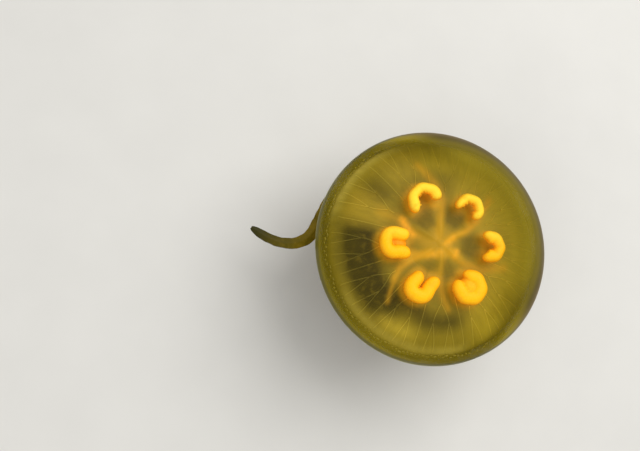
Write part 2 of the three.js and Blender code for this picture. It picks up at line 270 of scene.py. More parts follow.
# Each streak: half its width, its strength, its colour, and the points that it follows.
STREAKS = [
    (4, 0.6, GOLD, [(-2, 4), (1, 22), (3, 37), (-2, 49), (-9, 58), (-17, 66)]),
    (3.2, 0.85, GOLD, [(3, -2), (10, 5), (23, 11), (34, 22), (40, 32), (46, 41)]),
    (4, 0.6, GOLD, [(10, -7), (21, -16), (38, -20), (58, -17)]),
    (3.2, 0.5, GOLD, [(3, -12), (1, -27), (2, -41), (8, -54)]),
    (3, 0.7, GOLD, [(-8, -8), (-25, -16), (-34, -23), (-38, -32)]),
    (2, 0.5, GOLD, [(-38, -32), (-41, -42), (-43, -51)]),
    (5, 0.3, GOLD, [(-10, -2), (-26, 9), (-37, 18), (-50, 23)]),
    (3.4, 0.85, GOLD, [(-24, -12), (-8, -10.5), (7, -8), (14, -8)]),
    (2.6, 0.4, AMBER, [(-10, -11), (0, -9)]),
    (2.4, 0.65, AMBER, [(5.5, -0.6), (10.5, 4)]),
    (2.2, 0.65, AMBER, [(14.4, -6.5), (12.6, -11.5)]),
    (3.2, 0.9, AMBER, [(-32, 17.4), (-30.4, 14), (-27.4, 9), (-23.5, 4.5)]),
]


def dye(colour):
    """A colour on a chart of 0 to 255, in the linear light that shaders use."""
    share = np.array(colour) / 255
    return np.where(share > 0.04045, ((share + 0.055) / 1.055) ** 2.4, share / 12.92)


def soft_step(value, low, high):
    part = np.clip((value - low) / (high - low), 0, 1)
    return part * part * (3 - 2 * part)


def gonad_middle(gonad):
    turn = math.radians(gonad["azimuth"])
    return Vector((gonad["r"] * math.cos(turn), gonad["r"] * math.sin(turn)))


def gonad_path(gonad, steps):
    """Points down the middle of a gonad's ribbon, with its half width there."""
    path = []
    first_leg, last_leg = gonad["legs"]
    bow = math.radians(gonad["wrap"]) * gonad["bend"]
    run = first_leg + bow + last_leg
    for part in np.linspace(0, 1, steps):
        bent = float(np.clip((part * run - first_leg) / bow, 0, 1))
        straight = min(part * run - first_leg, 0) + max(part * run - first_leg - bow, 0)
        turn = math.radians(gonad["faces"] + 180 + gonad["wrap"] * (0.5 - bent))
        bend = float(gonad["bend"] + 0.3 * math.sin(part * gonad["wrap"] * 0.11))
        out = Vector((math.cos(turn), math.sin(turn)))
        place = gonad_middle(gonad) + bend * out - float(straight) * out.orthogonal()
        ends = math.sqrt(max(0, 1 - (2 * part - 1) ** 10))
        swell = 1 - gonad["swell"] * math.cos((2 * part - 1) * math.pi)
        path.append((place, gonad["width"] / 2 * ends * swell))
    return path


def distance_to(x, y, points):
    """How far each place is from a line through some points."""
    nearest = np.full(len(x), 1e9)
    for (x0, y0), (x1, y1) in zip(points, points[1:]):
        along = ((x - x0) * (x1 - x0) + (y - y0) * (y1 - y0)) / ((x1 - x0) ** 2 + (y1 - y0) ** 2)
        along = np.clip(along, 0, 1)
        away = np.hypot(x - x0 - along * (x1 - x0), y - y0 - along * (y1 - y0))
        nearest = np.minimum(nearest, away)
    return nearest


def flesh_colour(x, y):
    """The colour of the hollow side at places in millimetres, as rows of linear light, with painted light
    and shade laid in.
    """
    radius = np.hypot(x, y)
    azimuth = np.degrees(np.arctan2(y, x))
    colour = np.tile(dye(OLIVE), (len(x), 1))

    def lay(tint, cover):
        nonlocal colour
        colour = colour + (dye(tint) - colour) * cover[:, None]

    def lay_patches(patches, soft):
        for inner, outer, first, last, tint, strength in patches:
            middle, half = (first + last) / 2, (last - first) / 2
            away = turn_between(azimuth, middle)
            ring = soft_step(radius, inner - soft, inner + soft)
            ring = ring * (1 - soft_step(radius, outer - soft, outer + soft))
            lay(tint, strength * ring * (1 - soft_step(away, half - 6, half + 10)))

    lay_patches(PATCHES, PATCH_SOFT)
    lay(GOLD, 0.45 * np.exp(-((radius / 17) ** 2)))
    for half, strength, tint, points in STREAKS:
        lay(tint, strength * np.exp(-((distance_to(x, y, points) / half) ** 2)))
    for gonad in GONADS:
        path = [place[:] for place, _ in gonad_path(gonad, 24)]
        edge = gonad["width"] / 2
        # Painted light: gold laid under and round each ribbon, for its glow through the jelly and to lift
        # the shadow that it casts on the hollow side.
        lay((200, 152, 28), 0.8 * (1 - soft_step(distance_to(x, y, path), edge - 2, edge + 3.6)))
        middle = gonad_middle(gonad)
        inside = np.hypot(x - middle.x, y - middle.y) / gonad["bend"]
        lay((236, 160, 20), gonad["fill"] * np.exp(-(inside**2)))
    lay_patches(POCKETS, POCKET_SOFT)
    return colour * UNDER_JELLY


def stain(piece):
    """Keeps the hollow side's colour, with its painted light and shade, on the vertices, for its material
    to read.
    """
    spots = places(piece)
    colours = flesh_colour(spots[:, 0], spots[:, 1])
    layer = piece.data.color_attributes.new("stain", "FLOAT_COLOR", "POINT")
    layer.data.foreach_set("color", np.c_[colours, np.ones(len(colours))].ravel())


class Wire:
    """A value that changes over a surface. Sums with it add Math nodes to its material."""

    def __init__(self, finish, socket):
        self.finish = finish
        self.socket = socket

    def maths(self, operation, first, second):
        return self.finish.node("ShaderNodeMath", {"operation": operation}, {0: first, 1: second})

    def __add__(self, other):
        return self.maths("ADD", self, other)

    def __sub__(self, other):
        return self.maths("SUBTRACT", self, other)

    def __rsub__(self, other):
        return self.maths("SUBTRACT", other, self)

    def __mul__(self, other):
        return self.maths("MULTIPLY", self, other)

    def __truediv__(self, other):
        return self.maths("DIVIDE", self, other)

    __radd__ = __add__
    __rmul__ = __mul__


class Finish:
    """A material, and the few kinds of node that the model's surfaces are mixed from."""

    def __init__(self, name):
        self.material = bpy.data.materials.new(name)
        self.material.use_nodes = True
        self.tree = self.material.node_tree
        self.tree.nodes.clear()

    def node(self, kind, settings=None, sockets=None, output=0):
        """Adds a node: its settings first, then the values or wires of its sockets."""
        made = self.tree.nodes.new(kind)
        for name, value in (settings or {}).items():
            if name == "stops":
                self.set_stops(made.color_ramp, value)
            else:
                setattr(made, name, value)
        for name, value in (sockets or {}).items():
            if isinstance(value, Wire):
                self.tree.links.new(value.socket, made.inputs[name])
            else:
                made.inputs[name].default_value = value
        return Wire(self, made.outputs[output] if made.outputs else None)

    def set_stops(self, ramp, stops):
        for position, _ in stops[1:-1]:
            ramp.elements.new(position)
        for element, (_, colour) in zip(ramp.elements, stops):
            element.color = (*dye(colour), 1)

    def place(self):
        """Object coordinates in metres."""
        return self.node("ShaderNodeTexCoord", output="Object")

    def split(self, vector):
        """The X, Y and Z of a vector apart."""
        outputs = self.node("ShaderNodeSeparateXYZ", None, {0: vector}).socket.node.outputs
        return [Wire(self, outputs[axis]) for axis in "XYZ"]

    def axes(self):
        """The three object coordinates apart, in millimetres."""
        return [axis * (1 / MM) for axis in self.split(self.place())]

    def stain(self):
        """The hollow side's colour with its painted light and shade, as it is kept on the vertices."""
        return self.node("ShaderNodeAttribute", {"attribute_name": "stain"}, output="Color")

    def noise(self, size, detail=2, vector=None):
        """Soft speckle with spots of about a size in millimetres, from 0 to 1."""
        scale = 1 / (size * MM)
        sockets = {"Vector": vector or self.place(), "Scale": scale, "Detail": detail}
        return self.node("ShaderNodeTexNoise", None, sockets, "Fac")

    def step(self, value, low, high, start=0, end=1):
        """Goes smoothly from start to end as a value goes from low to high."""
        sockets = {"Value": value, "From Min": low, "From Max": high, "To Min": start, "To Max": end}
        return self.node("ShaderNodeMapRange", {"interpolation_type": "SMOOTHSTEP"}, sockets)

    def ramp(self, value, stops):
        """A colour read off a ramp of places from 0 to 1."""
        return self.node("ShaderNodeValToRGB", {"stops": stops}, {"Fac": value})

    def mix(self, factor, first, second):
        """One colour over another, each a wire or a colour on a chart of 0 to 255."""
        first, second = [tone if isinstance(tone, Wire) else (*dye(tone), 1) for tone in (first, second)]
        return self.node("ShaderNodeMix", {"data_type": "RGBA"}, {0: factor, 6: first, 7: second}, 2)

    def bump(self, height, strength, distance):
        sockets = {"Height": height, "Strength": strength, "Distance": distance * MM}
        return self.node("ShaderNodeBump", None, sockets)

    def surface(self, **sockets):
        """The shader itself. Socket names are written with underscores."""
        named = {name.replace("_", " "): value for name, value in sockets.items()}
        shader = self.node("ShaderNodeBsdfPrincipled", None, named)
        self.node("ShaderNodeOutputMaterial", None, {"Surface": shader})
        return self.material


def polar(finish):
    """Distance from the axis in millimetres, and places on the unit circle round it."""
    x, y, _ = finish.axes()
    flat = finish.node("ShaderNodeCombineXYZ", None, {"X": x, "Y": y})
    radius = finish.node("ShaderNodeVectorMath", {"operation": "LENGTH"}, {0: flat}, "Value")
    round_it = finish.node("ShaderNodeVectorMath", {"operation": "NORMALIZE"}, {0: flat})
    return radius, round_it


def streaks(finish, spacing):
    """Fine speckle drawn out along the radii, as muscle and canals lie in the bell."""
    radius, round_it = polar(finish)
    x, y, _ = finish.split(round_it)
    vector = finish.node("ShaderNodeCombineXYZ", None, {"X": x, "Y": y, "Z": radius * 0.004})
    return finish.node("ShaderNodeTexNoise", None, {"Vector": vector, "Scale": spacing, "Detail": 3}, "Fac")


# The two sides of the bell differ: the front left is cloudy only low down, and the back right is cloudy
# higher up. Each side has its own ramp of colour, from the lip to the top, laid with painted light and
# shade: the dark bands are painted shade along the bell's outline, the brightest bands are painted light
# that makes up for shade there, and the pale greenish band low on the front is a painted highlight along
# the outline.
RAMP_LOW = 80
RAMP_TALL = 80
BACK_VEIL = 24  # how much higher the jelly is cloudy at the back
RAMP_TILT = 0.001  # how fast the front ramp climbs towards the back, for each millimetre
FRONT_RAMP = [
    (0.0, (156, 138, 38)), (0.14, (152, 138, 48)), (0.25, (169, 168, 96)), (0.335, (161, 160, 90)),
    (0.37, (112, 106, 46)), (0.4, (100, 93, 38)), (0.445, (110, 101, 36)), (0.48, (158, 140, 35)),
    (0.52, (184, 162, 36)), (0.58, (204, 179, 38)), (0.64, (202, 177, 37)), (0.72, (164, 143, 29)),
    (1.0, (150, 126, 26)),
]
BACK_RAMP = [
    (0.0, (132, 106, 24)), (0.44, (110, 86, 20)), (0.6, (86, 68, 17)), (0.63, (88, 75, 24)),
    (0.655, (102, 88, 29)), (0.69, (122, 106, 32)), (0.73, (132, 116, 34)), (0.78, (178, 156, 43)),
    (0.82, (204, 180, 49)), (0.88, (214, 188, 51)), (1.0, (160, 136, 28)),
]


def clear_jelly():
    """The outside: clear at the top, where the gonads show, and cloudier down to the rim."""
    finish = Finish("clear_jelly")
    x, y, height = finish.axes()
    to_back = x * 1.22 + y * 0.71
    back = finish.step(to_back, -40, 75)
    rise = (height - RAMP_LOW) / RAMP_TALL
    front_colour = finish.ramp(rise - to_back * RAMP_TILT, FRONT_RAMP)
    # Painted shade: darker on the left, the side away from the key light.
    left_shade = finish.step(x * -0.97 - y * 0.26, 66, 97)
    front_colour = finish.mix(left_shade * 0.45, front_colour, (92, 84, 12))
    back_colour = finish.ramp(rise, BACK_RAMP)
    colour = finish.mix(finish.step(to_back, 0, 65), front_colour, back_colour)
    cloud = finish.noise(22, 3)
    colour = finish.mix(cloud * 0.3, colour, (100, 94, 18))
    veil = height - back * BACK_VEIL
    alpha = finish.step((veil - 105) / (back * 10 + 11), 0, 1, 0.99, 0.42)
    alpha = alpha - finish.step(veil, 110, 134, 0, 0.3) - finish.step(veil, 134, 150, 0, 0.04)
    alpha = alpha * (cloud * 0.16 + 0.92)
    warts = finish.noise(1.6, 1)
    return finish.surface(
        Base_Color=colour,
        Roughness=finish.noise(9, 2) * 0.14 + 0.26,
        Specular_IOR_Level=0.03,
        Alpha=alpha,
        Normal=finish.bump(warts, 0.12, 0.5),
    )


def stained_flesh_and_painted_light():
    """The hollow side, with the colour and its painted light and shade kept on its vertices, and fine
    radial streaks over it.
    """
    finish = Finish("stained_flesh_and_painted_light")
    colour = finish.stain()
    radius, _ = polar(finish)
    grain = streaks(finish, 19)
    cover = finish.step(grain, 0.35, 0.75) * finish.step(radius, 30, 65, 0.06, 0.22)
    colour = finish.mix(cover, colour, (84, 72, 10))
    flecks = finish.step(finish.noise(5, 4), 0.5, 0.8, 0, 0.2)
    colour = finish.mix(flecks, colour, (170, 142, 36))
    return finish.surface(
        Base_Color=colour,
        Roughness=finish.noise(6, 2) * 0.2 + 0.4,
        Specular_IOR_Level=0.12,
        Normal=finish.bump(grain, 0.12, 0.4),
    )


stain(bell)
bell.data.materials.append(clear_jelly())
bell.data.materials.append(stained_flesh_and_painted_light())
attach(bell, "root")
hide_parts("bell_crown", "mouth_tube")
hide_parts(*[f"bell_flank_{number}" for number in range(1, RAYS + 1)])
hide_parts(*[f"lappet_{number:02d}" for number in range(1, NOTCHES + 1)])

# ---- the stomach wall ---------------------------------------------------------------
# A thin golden membrane closes the stomach over the mouth tube. Six soft ridges cross it,
# one over the root of each oral arm. It is poured in tinted silicone into the bell.

WALL_OUTLINE = [
    (0, 124.7), (4, 124.7), (8, 124.6), (12, 124.3), (16, 123.9), (20, 123.35), (24, 122.85), (27, 122.45),
    (30, 121.95), (32, 121.6), (31.5, 121.3), (27, 121.9), (22, 122.5), (12, 123.5), (6, 123.8), (0, 123.8),
]
ARM_AZIMUTHS = [27, 89, 151, -143, -89, -38]
RIDGE_HALF = 2.6
RIDGE_HIGH = 2.6

wall = turned("stomach_wall", WALL_OUTLINE, 180)
for vertex in wall.data.vertices:
    flat = vertex.co.xy / MM
    ridge = 0
    for azimuth in ARM_AZIMUTHS:
        along = Vector((math.cos(math.radians(azimuth)), math.sin(math.radians(azimuth))))
        if flat.dot(along) > 0:
            ridge = max(ridge, math.exp(-((flat.dot(along.orthogonal()) / RIDGE_HALF) ** 2)))
    fade = min(1, flat.length / 11) ** 2 * max(0, 1 - flat.length / 29)
    vertex.co.z += RIDGE_HIGH * ridge * fade * MM
stain(wall)
wall.data.materials.append(bell.data.materials[1])
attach(wall, "root")
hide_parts("stomach_floor")

# ---- the canals ---------------------------------------------------------------------
# Fine food canals run out from the pouches along the hollow side, as raised threads of the
# same silicone. Twelve stay straight and twelve fork twice. A ring canal joins them all.

CANAL_START = 45
CANAL_FORKS = [50, 66]
CANAL_END = HOLLOW_RADIUS - 0.3
CANAL_SPREAD = 6  # degrees each side of the first fork
STEM_THICK = 0.5
STRAIGHT_THICK = 0.45
RING_THICK = 0.9
RIM_LIFT = 0.45  # how much of the lip's lift the ring canal follows
RING_CANAL = 60  # degrees down the curl
RIM_PATH = [(angle, rim_thickness(angle)) for angle in (2, 16, 32, 48, RING_CANAL)]


def canal_place(azimuth, radius, height):
    turn = math.radians(azimuth)
    return Vector((radius * math.cos(turn), radius * math.sin(turn), height)) * MM


def canal_points(start, end, first, last):
    """Points on the hollow side between two radii, veering off from one azimuth to another."""
    points = []
    for part in np.linspace(0, 1, 8):
        radius = start + (end - start) * part
        azimuth = first + (last - first) * (1 - (1 - part) ** 1.7)
        points.append(canal_place(azimuth, radius, hollow_height(radius)))
    return points


def rim_place(azimuth, angle, depth):
    """A place inside the curled rim, which is lifted with the lip near a sense organ."""
    radius, height = curl_point(angle, depth)
    lift = RIM_LIFT * notch_lift(azimuth) * (angle / RING_CANAL) ** 3
    return canal_place(azimuth, radius, height + lift)


def rim_points(azimuth):
    """Points on down the inside of the curled rim to the ring canal."""
    return [rim_place(azimuth, angle, depth) for angle, depth in RIM_PATH]


def canal_tree(azimuth, level, paths):
    """Adds the two canals that part at a fork and all beyond them, as points with thickness."""
    radii = [CANAL_START, *CANAL_FORKS, CANAL_END]
    thick = STEM_THICK - 0.06 * level
    if level == 0:
        stem = canal_points(radii[0], radii[1], azimuth, azimuth)
        paths.append([(point, thick) for point in stem])
    for side in (-1, 1):
        target = azimuth + side * CANAL_SPREAD / 2**level
        branch = canal_points(radii[level + 1], radii[level + 2], azimuth, target)
        if level + 1 == len(CANAL_FORKS):
            branch += rim_points(target)
        paths.append([(point, thick - 0.04) for point in branch])
        if level + 1 < len(CANAL_FORKS):
            canal_tree(target, level + 1, paths)


def strands(name, paths, roundness, closed=()):
    """Round strands along paths of points and thicknesses, as one mesh."""
    curve = bpy.data.curves.new(name, "CURVE")
    curve.dimensions = "3D"
    curve.bevel_depth = MM
    curve.bevel_resolution = roundness
    curve.use_fill_caps = True
    for index, path in enumerate(paths):
        spline = curve.splines.new("POLY")
        spline.points.add(len(path) - 1)
        spline.use_cyclic_u = index in closed
        for point, (place, thick) in zip(spline.points, path):
            point.co = (*place, 1)
            point.radius = thick
    piece = bpy.data.objects.new(name, curve)
    bpy.context.scene.collection.objects.link(piece)
    deselect()
    piece.select_set(True)
    bpy.context.view_layer.objects.active = piece
    bpy.ops.object.convert(target="MESH")
    bpy.ops.object.mode_set(mode="EDIT")
    bpy.ops.mesh.select_all(action="SELECT")
    bpy.ops.mesh.remove_doubles(threshold=0.001 * MM)
    bpy.ops.object.mode_set(mode="OBJECT")
    bpy.ops.object.shade_smooth()
    return piece


def canal_finish():
    finish = Finish("canal_flesh")
    colour = finish.stain()
    x, y, _ = finish.axes()
    # Painted light: the canals are paler than the flesh round them, and are laid in paler still to make up
    # for the shade on their sides, fully on the front left and half as much on the back right.
    pale_and_lit = finish.step(x + y, 0, 80, 1, 0.5)
    pale_and_lit_colour = finish.node("ShaderNodeVectorMath", {"operation": "SCALE"}, {0: colour, "Scale": 1.42})
    shade = finish.noise(4, 2)
    pale_and_lit_colour = finish.mix(shade * 0.36, pale_and_lit_colour, (186, 168, 64))
    colour = finish.mix(pale_and_lit, colour, pale_and_lit_colour)
    return finish.surface(Base_Color=colour, Roughness=shade * 0.2 + 0.4, Specular_IOR_Level=0.2)


canal_paths = []
middles = [gonad["azimuth"] for gonad in GONADS]
for index, azimuth in enumerate(middles):
    gap = (middles[(index + 1) % RAYS] - azimuth) % 360
    canal_tree(azimuth, 0, canal_paths)
    canal_tree(azimuth + gap / 2, 0, canal_paths)
    for part in (0.25, 0.75):
        straight = azimuth + gap * part
        points = canal_points(CANAL_START, CANAL_END, straight, straight) + rim_points(straight)
        canal_paths.append([(point, STRAIGHT_THICK) for point in points])
ring = [(rim_place(turn, *RIM_PATH[-1]), RING_THICK) for turn in range(0, 360, 2)]
canal_paths.append(ring)
canals = strands("canals", canal_paths, 1, closed=(len(canal_paths) - 1,))
stain(canals)
canals.data.materials.append(canal_finish())
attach(canals, "root")

# ---- the gonads ---------------------------------------------------------------------
# Six ruffled ribbons of ripe eggs, each bent to a horseshoe in its pouch of the stomach.
# They are cast in golden resin with grains all over, and set into the jelly.

GONAD_TALL = 10.6
GONAD_LOW = 125.4
GRAIN = 0.45
BED_FILL = 0.7  # horseshoes filled more than this have a bed
GONAD_VOXEL = 0.42


def gonad_finish():
    finish = Finish("ripe_gonad")
    _, y, height = finish.axes()
    # Painted light and shade: the ribbons are laid in deep orange low down, where they lie in shade, and in
    # bright yellow on top, where they catch the light.
    rise = finish.step(height, GONAD_LOW + 0.5 * GONAD_TALL, GONAD_LOW + 0.98 * GONAD_TALL)
    lit_yolk = finish.mix(finish.step(y, -6, 16), (255, 190, 10), (255, 217, 52))
    colour = finish.mix(rise, (234, 143, 10), lit_yolk)
    grain = finish.noise(1.1, 2)
    blotch = finish.noise(6, 2)
    colour = finish.mix(finish.step(grain, 0.55, 0.75, 0, 0.25), colour, (255, 230, 70))
    colour = finish.mix(finish.step(blotch, 0.5, 0.7, 0, 0.35), colour, (250, 164, 14))
    return finish.surface(
        Base_Color=colour,
        Roughness=grain * 0.2 + 0.35,
        Specular_IOR_Level=0.15,
        # Painted light: the ribbons glow faintly in their own colour.
        Emission_Color=colour,
        Emission_Strength=0.22,
        Normal=finish.bump(grain, 0.3, 0.4),
    )


def apply_modifiers(piece):
    for modifier in list(piece.modifiers):
        bpy.ops.object.modifier_apply(modifier=modifier.name)


def grain_texture():
    texture = bpy.data.textures.new("egg_grains", "CLOUDS")
    texture.noise_scale = GRAIN * MM
    texture.noise_depth = 1
    return texture


def gonad_bed(gonad):
    """A cushion of filaments that fills the middle of a horseshoe, more or less high."""
    radius = gonad["bend"]
    rise = GONAD_TALL * 0.86 * gonad["fill"]
    facing = math.radians(gonad["faces"])
    middle = gonad_middle(gonad) + 0.2 * gonad["legs"][0] * Vector((math.cos(facing), math.sin(facing)))
    place = Vector((middle.x, middle.y, GONAD_LOW + 0.3 * rise)) * MM
    bpy.ops.mesh.primitive_uv_sphere_add(segments=48, ring_count=24, radius=radius * MM, location=place)
    bed = bpy.context.active_object
    bed.scale.z = 0.7 * rise / radius
    bpy.ops.object.transform_apply(location=True, rotation=True, scale=True)
    return bed


def gonad_ribbon(name, gonad, grains):
    """A tall round ribbon with its bed, grown together, smoothed and covered with grains."""
    middle = GONAD_LOW + GONAD_TALL / 2
    path = [(Vector((*place, middle)) * MM, max(half, 0.05)) for place, half in gonad_path(gonad, 100)]
    ribbon = strands(name, [path], 8)
    bpy.ops.object.mode_set(mode="EDIT")
    bpy.ops.mesh.select_all(action="SELECT")
    stretch = 0.94 * GONAD_TALL / gonad["width"]
    bpy.ops.transform.resize(value=(1, 1, stretch), center_override=(0, 0, middle * MM))
    bpy.ops.mesh.select_all(action="DESELECT")
    bpy.ops.object.mode_set(mode="OBJECT")
    if gonad["fill"] > BED_FILL:
        bed = gonad_bed(gonad)
        deselect()
        bed.select_set(True)
        ribbon.select_set(True)
        bpy.context.view_layer.objects.active = ribbon
        bpy.ops.object.join()
    grown = ribbon.modifiers.new("grown", "REMESH")
    grown.mode = "VOXEL"
    grown.voxel_size = GONAD_VOXEL * MM
    grown.use_smooth_shade = True
    soft = ribbon.modifiers.new("soft", "SMOOTH")
    soft.factor = 0.6
    soft.iterations = 10
    rough = ribbon.modifiers.new("grains", "DISPLACE")
    rough.texture = grains
    rough.texture_coords = "LOCAL"
    rough.strength = 0.5 * MM
    rough.mid_level = 0.5
    apply_modifiers(ribbon)
    return ribbon


gonad_flesh = gonad_finish()
grains = grain_texture()
for number, gonad in enumerate(GONADS, 1):
    ribbon = gonad_ribbon(f"gonad_ribbon_{number}", gonad, grains)
    ribbon.data.materials.append(gonad_flesh)
    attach(ribbon, "root")
    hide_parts(f"gonad_{number}")

# Short golden threads, the gastric filaments, line the inner side of each ribbon.


def filament_paths(gonad):
    """Threads that rise from the inner side of a ribbon and droop towards its middle."""
    paths = []
    middle = gonad_middle(gonad)
    for place, half in gonad_path(gonad, 64)[3:-3]:
        inward = (middle - place).normalized()
        start = place + inward * half * 0.8
        height = GONAD_LOW + GONAD_TALL * random.uniform(0.3, 0.8)
        length = random.uniform(0.8, 2.2)
        sway = inward.orthogonal() * random.uniform(-0.5, 0.5) * length
        path = []
        for part in np.linspace(0, 1, 6):
            flat = start + inward * length * float(part) + sway * float(part**2)
            rise = height + 1.4 * math.sin(math.pi * part) - 1.5 * part
            path.append((Vector((flat.x, flat.y, rise)) * MM, 0.28 - 0.16 * part))
        paths.append(path)
    return paths


random.seed(5)
filaments = strands("gastric_filaments", [path for gonad in GONADS for path in filament_paths(gonad)], 1)
filaments.data.materials.append(gonad_flesh)
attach(filaments, "root")

# ---- the oral arms ------------------------------------------------------------------
# Six soft blades hang from the corners of the mouth, each a shallow trough with a thick
# rib and frilled edges. One is swept out past the rim. They are cast in tinted silicone.

# Each hanging arm: its number, azimuth, sweep round the axis, reach and height of its tip.
HANGING_ARMS = [
    (1, 27, 30, 62, 36),
    (2, 89, 12, 58, 30),
    (4, -143, 18, 66, 40),
    (5, -89, -6, 56, 28),
    (6, -38, 20, 64, 38),
]
LONG_ARM = [
    (-11.6, 6.4, 112.5), (-25, 17, 96), (-41, 31, 79), (-55, 45, 67), (-66, 53, 61.5),
    (-74.5, 50.5, 60), (-82, 39, 60), (-89, 25, 60.5), (-97, 11, 61), (-109, 4, 61.5),
    (-123, 3.5, 62), (-136, 7.5, 62.5), (-149, 14.5, 63),
]
ARM_START = 11.4
ARM_START_HEIGHT = 113.6
ARM_WIDTH = 16
ARM_RUFFLE = 1.25
LONG_ARM_WIDTH = 11.5
LONG_ARM_RUFFLE = 0.4
ARM_THICK = 2.3
ARM_STEPS = 190
ARM_ACROSS = 24
LONG_WAVE = 8.2  # the lengths of the waves in a frill
SHORT_WAVE = 5.1
EDGE_WAVE = 11


def hanging_spine(azimuth, sweep, reach, tip):
    """Points down the middle of an arm that hangs under the bell."""
    spine = []
    for part in np.linspace(0, 1, ARM_STEPS + 1):
        radius = ARM_START + (reach - ARM_START) * math.sin(part * math.pi / 2) ** 0.9
        turn = math.radians(azimuth + sweep * part**1.5)
        height = ARM_START_HEIGHT - (ARM_START_HEIGHT - tip) * (0.45 * part + 0.55 * part**2)
        spine.append((radius * math.cos(turn), radius * math.sin(turn), height))
    return np.array(spine)


def smooth_spine(points):
    """Evenly spaced points on one smooth curve through some points."""
    points = np.array(points, float)
    ends = [2 * points[0] - points[1], *points, 2 * points[-1] - points[-2]]
    fine = []
    for before, start, end, after in zip(ends, ends[1:], ends[2:], ends[3:]):
        for part in np.linspace(0, 1, 24, endpoint=False):
            a = 2 * start + (end - before) * part
            b = (2 * before - 5 * start + 4 * end - after) * part**2
            c = (3 * start - before - 3 * end + after) * part**3
            fine.append((a + b + c) / 2)
    fine = np.array([*fine, points[-1]])
    run = np.concatenate([[0], np.cumsum(np.linalg.norm(np.diff(fine, axis=0), axis=1))])
    even = np.linspace(0, run[-1], ARM_STEPS + 1)
    return np.stack([np.interp(even, run, fine[:, axis]) for axis in range(3)], axis=1)


def blade_directions(spine):
    """At each step of a spine, which way lies across its blade and which way up from it."""
    along = np.gradient(spine, axis=0)
    along /= np.linalg.norm(along, axis=1)[:, None]
    side = np.stack([-along[:, 1], along[:, 0], np.zeros(len(along))], axis=1)
    side /= np.linalg.norm(side, axis=1)[:, None]
    return side, np.cross(along, side)


def blade_half(part, width):
    """Half a blade's width along it: swollen at the middle, with a rounded tip."""
    swell = np.sin(np.pi * (0.12 + 0.8 * part)) ** 0.8
    past = np.clip((part - 0.94) / 0.06, 0, 1)
    return width / 2 * (0.42 + 0.58 * swell) * np.sqrt(1 - 0.92 * past**2)


def blade_waves(run, across, seed):
    """Waves along a blade for its frill and its outline, out of step on its two sides."""
    random.seed(seed)
    phases = [random.uniform(0, math.tau) for _ in range(6)]
    wander = 1.2 * np.sin(run / 9 + phases[3])
    sign = np.sign(across)
    beat = np.sin(run * math.tau / LONG_WAVE + wander + phases[0] + 1.3 * sign)
    beat += 0.45 * np.sin(run * math.tau / SHORT_WAVE - wander + phases[1] + 2.1 * sign)
    flutter = np.sin(run * math.tau / EDGE_WAVE + wander + phases[2] + 0.7 * sign)
    return beat, flutter


def thicken(piece, weights):
    """Gives a blade its thickness, which is most along its rib."""
    group = piece.vertex_groups.new(name="rib")
    for index, weight in enumerate(weights):
        group.add([index], 0.3 + 0.7 * float(weight), "REPLACE")
    wall = piece.modifiers.new("wall", "SOLIDIFY")
    wall.thickness = ARM_THICK * MM
    wall.offset = 0
    wall.vertex_group = "rib"
    apply_modifiers(piece)
    piece.vertex_groups.clear()


def arm_blade(name, spine, width, ruffle, seed):
    """A frilled blade: a grid is laid along the spine, cupped, ruffled and given a thickness."""
    deselect()
    bpy.ops.mesh.primitive_grid_add(x_subdivisions=ARM_STEPS, y_subdivisions=ARM_ACROSS, size=1)
    piece = bpy.context.active_object
    piece.name = piece.data.name = name
    grid = places(piece) * MM
    step = np.clip(np.rint((grid[:, 0] + 0.5) * ARM_STEPS).astype(int), 0, ARM_STEPS)
    part = step / ARM_STEPS
    across = grid[:, 1] * 2
    edge = np.abs(across)
    side, up = blade_directions(spine)
    half = blade_half(part, width)
    run = np.linalg.norm(np.diff(spine, axis=0), axis=1).sum() * part
    beat, flutter = blade_waves(run, across, seed)
    grow = np.clip(part * 8, 0.25, 1)
    frill = ruffle * grow * edge**2.2 * beat * half / (width / 2)
    lift = -0.3 * half * edge**1.5 + 0.8 * np.sin(17 * part) * across * edge + frill
    out = across * half * (1 + 0.06 * ruffle * grow * edge**2 * flutter)
    place = spine[step] + side[step] * out[:, None] + up[step] * lift[:, None]
    piece.data.vertices.foreach_set("co", (place * MM).ravel())
    thicken(piece, np.clip(1 - edge * 1.15, 0, 1) ** 1.4 * (1 - 0.5 * part))
    bpy.ops.object.shade_smooth()
    return piece


def arm_finish():
    finish = Finish("arm_flesh")
    radius, _ = polar(finish)
    veins = finish.noise(2.6, 4)
    blotch = finish.step(finish.noise(14, 2), 0.3, 0.7)
    colour = finish.mix(blotch, (112, 96, 14), (138, 114, 20))
    colour = finish.mix(finish.step(veins, 0.5, 0.72, 0, 0.4), colour, (160, 132, 36))
    colour = finish.mix(finish.step(radius, 98, 148, 0, 0.95), colour, (46, 46, 7))
    return finish.surface(
        Base_Color=colour,
        Roughness=veins * 0.2 + 0.35,
        Specular_IOR_Level=0.12,
        Normal=finish.bump(veins, 0.25, 0.5),
    )


arm_flesh = arm_finish()
spines = {number: (hanging_spine(*way), ARM_WIDTH, ARM_RUFFLE) for number, *way in HANGING_ARMS}
spines[3] = (smooth_spine(LONG_ARM), LONG_ARM_WIDTH, LONG_ARM_RUFFLE)
for number, (spine, width, ruffle) in sorted(spines.items()):
    blade = arm_blade(f"oral_arm_{number}", spine, width, ruffle, number)
    blade.data.materials.append(arm_flesh)
    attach(blade, "root")
    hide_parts(*[f"arm_{number}_{length}" for length in ("root", "middle", "tip")])

# ---- the fringe ---------------------------------------------------------------------
# Hundreds of fine hollow tentacles hang from the lip, each from a small bead. A real
# moon jelly has them shorter than a finger's width. They are drawn silicone threads.

TENTACLES = 360
TENTACLE_LENGTH = 11
NOTCH_CLEAR = 1.9  # degrees each side without tentacles
TENTACLE_BEAD = [(-0.9, 0.2), (-0.4, 0.75), (0.2, 0.85), (0.8, 0.6), (1.6, 0.3)]  # drop, thickness


